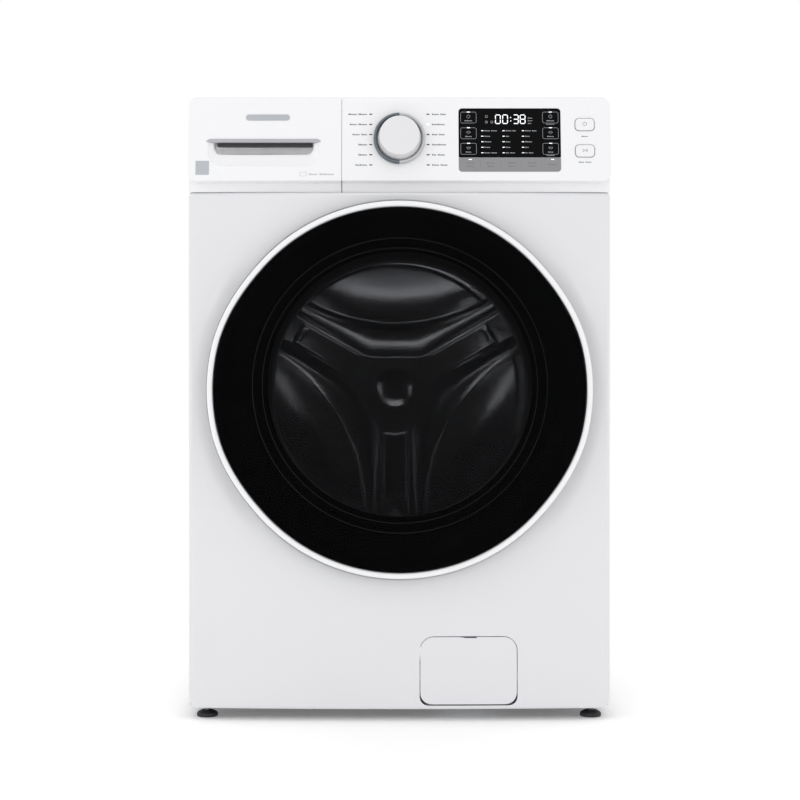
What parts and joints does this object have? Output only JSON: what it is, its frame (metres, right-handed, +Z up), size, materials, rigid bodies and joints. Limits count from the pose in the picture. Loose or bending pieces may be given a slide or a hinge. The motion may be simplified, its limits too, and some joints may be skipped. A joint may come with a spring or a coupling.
{
  "type": "front load washing machine",
  "caption": "Front load washing machine with a round side-hinged glass door, control panel, detergent drawer, filter door, floating tub and belt-driven drum.",
  "frame": {"origin": "on the floor under the middle of the machine", "axes": "+Z up, the door faces -Y, +X to the right as seen from the front"},
  "size_m": [0.686, 0.8, 1.016],
  "materials": {
    "white_enamel": "smooth gloss enamel on steel sheet",
    "white_plastic": "glossy white moulded plastic",
    "grey_plastic": "light grey moulded plastic",
    "tub_plastic": "ribbed grey-white moulded plastic",
    "dark_plastic": "black moulded plastic",
    "galvanised": "zinc-coated steel sheet",
    "stainless": "brushed stainless steel",
    "machined_steel": "machined steel",
    "cast_aluminium": "rough cast aluminium",
    "knob_chrome": "satin chrome",
    "display_black": "glossy black window",
    "door_black": "dark tinted glossy cover",
    "door_glass": "clear pressed glass",
    "gasket_rubber": "grey moulded rubber",
    "black_rubber": "black rubber",
    "concrete": "cast concrete",
    "white_button": "glossy white button"
  },
  "bodies": {
    "cabinet": {"side_panel_left": "white_enamel", "side_panel_right": "white_enamel", "rear_panel": "galvanised", "rear_cover": "galvanised", "top_panel": "white_enamel", "top_braces": "galvanised", "front_panel": "white_enamel", "base_frame": "galvanised", "control_fascia": "white_plastic", "display_window": "display_black", "knob_ring": "knob_chrome", "control_board": "dark_plastic", "dispenser_housing": "grey_plastic", "dispenser_bellows": "black_rubber", "inlet_valve": "white_plastic", "fill_hoses": "black_rubber", "door_lock": "dark_plastic", "hinge_plate": "machined_steel", "drain_pump": "dark_plastic", "drain_hose": "grey_plastic", "power_gland": "dark_plastic", "damper_cylinders": "dark_plastic", "foot_lock_nuts": "machined_steel", "cabinet_screws": "machined_steel", "door_gasket": "gasket_rubber", "sump_hose": "black_rubber"},
    "tub": {"tub_front": "tub_plastic", "tub_rear": "tub_plastic", "front_counterweight": "concrete", "lower_counterweight": "concrete", "tub_bearings": "machined_steel", "motor": "dark_plastic", "heater": "machined_steel", "damper_rods": "machined_steel", "suspension_springs": "machined_steel", "drive_belt": "black_rubber"},
    "drum": {"drum_shell": "stainless", "drum_back": "stainless", "drum_lifters": "grey_plastic", "drum_spider": "cast_aluminium", "drum_shaft": "machined_steel", "drum_pulley": "cast_aluminium"},
    "motor_rotor": {"motor_pulley": "machined_steel"},
    "door": {"door_ring": "white_plastic", "door_cover": "door_black", "door_inner_frame": "grey_plastic", "door_glass": "door_glass", "door_hinge_pins": "machined_steel"},
    "latch_hook": {"door_latch_hook": "dark_plastic"},
    "knob": {"cycle_knob": "white_plastic"},
    "power_key": {"power_button": "white_button"},
    "start_key": {"start_button": "white_button"},
    "drawer": {"drawer_front": "white_plastic", "drawer_tray": "grey_plastic"},
    "filter_flap": {"filter_door": "white_enamel"},
    "filter_plug": {"filter_cap": "grey_plastic"},
    "foot_1": {"foot_front_left": "black_rubber"},
    "foot_2": {"foot_front_right": "black_rubber"},
    "foot_3": {"foot_rear_left": "black_rubber"},
    "foot_4": {"foot_rear_right": "black_rubber"}
  },
  "joints": [
    {"name": "tub_float", "type": "slide", "parent": "cabinet", "child": "tub", "axis": [0, 0, 1], "range_m": [-0.01, 0.01], "stiffness_N_per_m": 20000, "springref_m": 0.022, "deforming": ["suspension_springs", "dispenser_bellows", "sump_hose", "door_gasket"]},
    {"name": "drum_spin", "type": "hinge", "parent": "tub", "child": "drum", "pos_m": [0, 0, 0.538], "axis": [0, -1, 0], "continuous": true},
    {"name": "motor_spin", "type": "hinge", "parent": "tub", "child": "motor_rotor", "pos_m": [0.06, 0.3, 0.16], "axis": [0, -1, 0], "continuous": true},
    {"name": "door_hinge", "type": "hinge", "parent": "cabinet", "child": "door", "pos_m": [-0.285, -0.358, 0.538], "axis": [0, 0, -1], "range_deg": [0, 105]},
    {"name": "latch_swing", "type": "hinge", "parent": "door", "child": "latch_hook", "pos_m": [0.257, -0.346, 0.54], "axis": [0, 0, -1], "range_deg": [-5, 0], "stiffness_Nm_per_rad": 0.3, "springref_deg": 2.86},
    {"name": "knob_turn", "type": "hinge", "parent": "cabinet", "child": "knob", "pos_m": [0, -0.328, 0.945], "axis": [0, -0.9903, 0.1392], "continuous": true},
    {"name": "power_press", "type": "slide", "parent": "cabinet", "child": "power_key", "axis": [0, 0.9903, -0.1392], "range_m": [0, 0.002], "stiffness_N_per_m": 800},
    {"name": "start_press", "type": "slide", "parent": "cabinet", "child": "start_key", "axis": [0, 0.9903, -0.1392], "range_m": [0, 0.002], "stiffness_N_per_m": 800},
    {"name": "drawer_slide", "type": "slide", "parent": "cabinet", "child": "drawer", "axis": [0, -1, 0], "range_m": [0, 0.23]},
    {"name": "filter_door_hinge", "type": "hinge", "parent": "cabinet", "child": "filter_flap", "pos_m": [0.112, -0.3282, 0.0444], "axis": [1, 0, 0], "range_deg": [0, 90]},
    {"name": "filter_turn", "type": "hinge", "parent": "cabinet", "child": "filter_plug", "pos_m": [0.112, -0.3, 0.085], "axis": [0, -1, 0], "range_deg": [0, 90]},
    {"name": "foot_level_1", "type": "slide", "parent": "cabinet", "child": "foot_1", "axis": [0, 0, -1], "range_m": [0, 0.015]},
    {"name": "foot_level_2", "type": "slide", "parent": "cabinet", "child": "foot_2", "axis": [0, 0, -1], "range_m": [0, 0.015]},
    {"name": "foot_level_3", "type": "slide", "parent": "cabinet", "child": "foot_3", "axis": [0, 0, -1], "range_m": [0, 0.015]},
    {"name": "foot_level_4", "type": "slide", "parent": "cabinet", "child": "foot_4", "axis": [0, 0, -1], "range_m": [0, 0.015]}
  ],
  "couplings": [
    {"joint": "motor_spin", "follows": "drum_spin", "ratio": 12.467}
  ]
}
